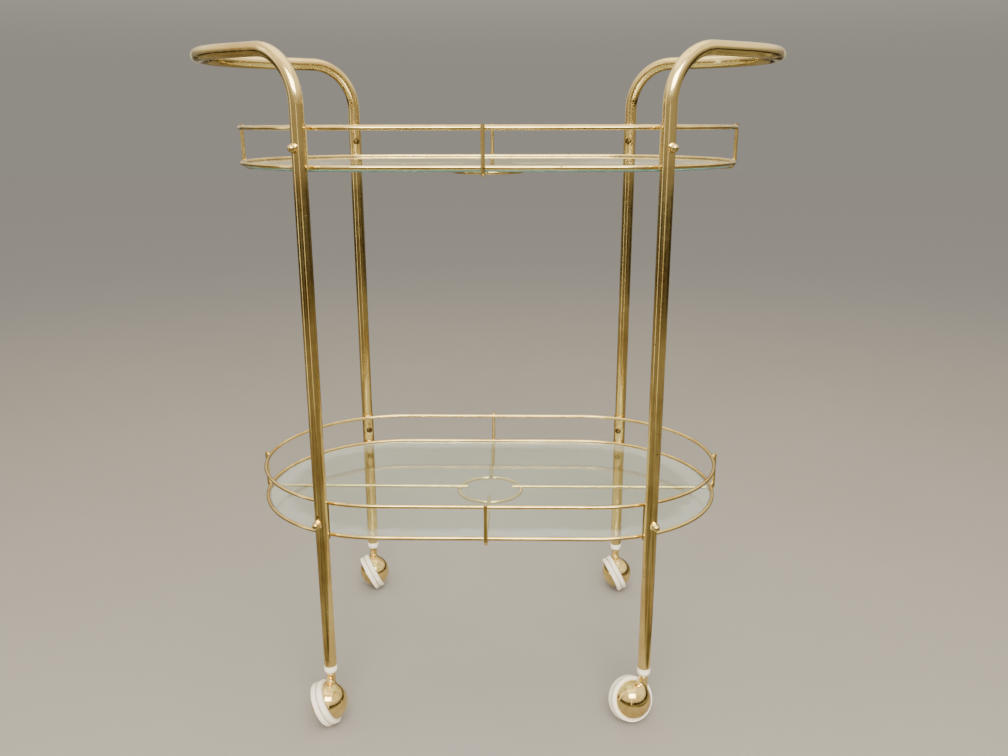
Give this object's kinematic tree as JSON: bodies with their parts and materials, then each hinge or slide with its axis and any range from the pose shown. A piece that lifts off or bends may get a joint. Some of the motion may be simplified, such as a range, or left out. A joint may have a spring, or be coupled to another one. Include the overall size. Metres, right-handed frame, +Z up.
{
  "type": "bar cart",
  "caption": "Oval brass-finished bar cart: bent-tube side frames with push handles, wire trays with lift-out glass shelves, on swivelling ball casters",
  "frame": {"origin": "on the floor, midway between the four legs", "axes": "+X runs along the cart from the left handle to the right handle, +Y from front to back, +Z up"},
  "size_m": [0.712, 0.403, 0.8145],
  "materials": {
    "brass_plated_tube": "polished brass plating on steel tube, lightly worn and pitted",
    "brass_plated_wire": "polished brass plating on steel wire, lightly worn",
    "brass_plated_strap": "brass-plated steel strap",
    "brass_plated_casting": "bright brass plating on die-cast metal",
    "brass_fasteners": "polished brass-plated screws and cap nuts",
    "clear_glass": "clear float glass with a green polished edge",
    "ivory_plastic": "ivory moulded plastic",
    "ivory_tread": "ivory hard rubber-like tread, scuffed",
    "plain_steel": "dark turned steel",
    "grey_plastic": "moulded grey plastic"
  },
  "bodies": {
    "frame": {"left_side_frame": "brass_plated_tube", "right_side_frame": "brass_plated_tube", "lower_rail": "brass_plated_wire", "lower_ring": "brass_plated_wire", "lower_left_support_wire": "brass_plated_wire", "lower_right_support_wire": "brass_plated_wire", "lower_front_support_wire": "brass_plated_wire", "lower_rear_support_wire": "brass_plated_wire", "lower_centre_ring": "brass_plated_wire", "lower_leg_saddles": "brass_plated_strap", "lower_screws": "brass_fasteners", "lower_cap_nuts": "brass_fasteners", "upper_rail": "brass_plated_wire", "upper_ring": "brass_plated_wire", "upper_left_support_wire": "brass_plated_wire", "upper_right_support_wire": "brass_plated_wire", "upper_front_support_wire": "brass_plated_wire", "upper_rear_support_wire": "brass_plated_wire", "upper_centre_ring": "brass_plated_wire", "upper_leg_saddles": "brass_plated_strap", "upper_screws": "brass_fasteners", "upper_cap_nuts": "brass_fasteners", "front_left_socket_sleeve": "ivory_plastic", "front_right_socket_sleeve": "ivory_plastic", "rear_left_socket_sleeve": "ivory_plastic", "rear_right_socket_sleeve": "ivory_plastic"},
    "lower_glass": {"lower_glass_shelf": "clear_glass"},
    "upper_glass": {"upper_glass_shelf": "clear_glass"},
    "front_left_swivel": {"front_left_stem": "plain_steel", "front_left_hood": "brass_plated_casting", "front_left_axle": "plain_steel"},
    "front_left_wheel": {"front_left_wheel_core": "grey_plastic", "front_left_wheel_cap": "brass_plated_casting", "front_left_tread": "ivory_tread"},
    "front_right_swivel": {"front_right_stem": "plain_steel", "front_right_hood": "brass_plated_casting", "front_right_axle": "plain_steel"},
    "front_right_wheel": {"front_right_wheel_core": "grey_plastic", "front_right_wheel_cap": "brass_plated_casting", "front_right_tread": "ivory_tread"},
    "rear_left_swivel": {"rear_left_stem": "plain_steel", "rear_left_hood": "brass_plated_casting", "rear_left_axle": "plain_steel"},
    "rear_left_wheel": {"rear_left_wheel_core": "grey_plastic", "rear_left_wheel_cap": "brass_plated_casting", "rear_left_tread": "ivory_tread"},
    "rear_right_swivel": {"rear_right_stem": "plain_steel", "rear_right_hood": "brass_plated_casting", "rear_right_axle": "plain_steel"},
    "rear_right_wheel": {"rear_right_wheel_core": "grey_plastic", "rear_right_wheel_cap": "brass_plated_casting", "rear_right_tread": "ivory_tread"}
  },
  "joints": [
    {"name": "lower_glass_lift", "type": "slide", "parent": "frame", "child": "lower_glass", "axis": [0, 0, 1], "range_m": [0, 0.1]},
    {"name": "upper_glass_lift", "type": "slide", "parent": "frame", "child": "upper_glass", "axis": [0, 0, 1], "range_m": [0, 0.1]},
    {"name": "front_left_swivel_turn", "type": "hinge", "parent": "frame", "child": "front_left_swivel", "pos_m": [-0.197, -0.17194, 0.07], "axis": [0, 0, 1], "continuous": true},
    {"name": "front_left_wheel_spin", "type": "hinge", "parent": "front_left_swivel", "child": "front_left_wheel", "pos_m": [-0.19602, -0.18591, 0.03049], "axis": [0.9041, 0.0632, 0.4226], "continuous": true},
    {"name": "front_right_swivel_turn", "type": "hinge", "parent": "frame", "child": "front_right_swivel", "pos_m": [0.197, -0.17194, 0.07], "axis": [0, 0, 1], "continuous": true},
    {"name": "front_right_wheel_spin", "type": "hinge", "parent": "front_right_swivel", "child": "front_right_wheel", "pos_m": [0.18411, -0.17741, 0.03049], "axis": [0.3541, -0.8343, 0.4226], "continuous": true},
    {"name": "rear_left_swivel_turn", "type": "hinge", "parent": "frame", "child": "rear_left_swivel", "pos_m": [-0.197, 0.17194, 0.07], "axis": [0, 0, 1], "continuous": true},
    {"name": "rear_left_wheel_spin", "type": "hinge", "parent": "rear_left_swivel", "child": "rear_left_wheel", "pos_m": [-0.19244, 0.1587, 0.03049], "axis": [0.8569, 0.2951, 0.4226], "continuous": true},
    {"name": "rear_right_swivel_turn", "type": "hinge", "parent": "frame", "child": "rear_right_swivel", "pos_m": [0.197, 0.17194, 0.07], "axis": [0, 0, 1], "continuous": true},
    {"name": "rear_right_wheel_spin", "type": "hinge", "parent": "rear_right_swivel", "child": "rear_right_wheel", "pos_m": [0.19991, 0.15825, 0.03049], "axis": [0.8865, 0.1884, 0.4226], "continuous": true}
  ]
}
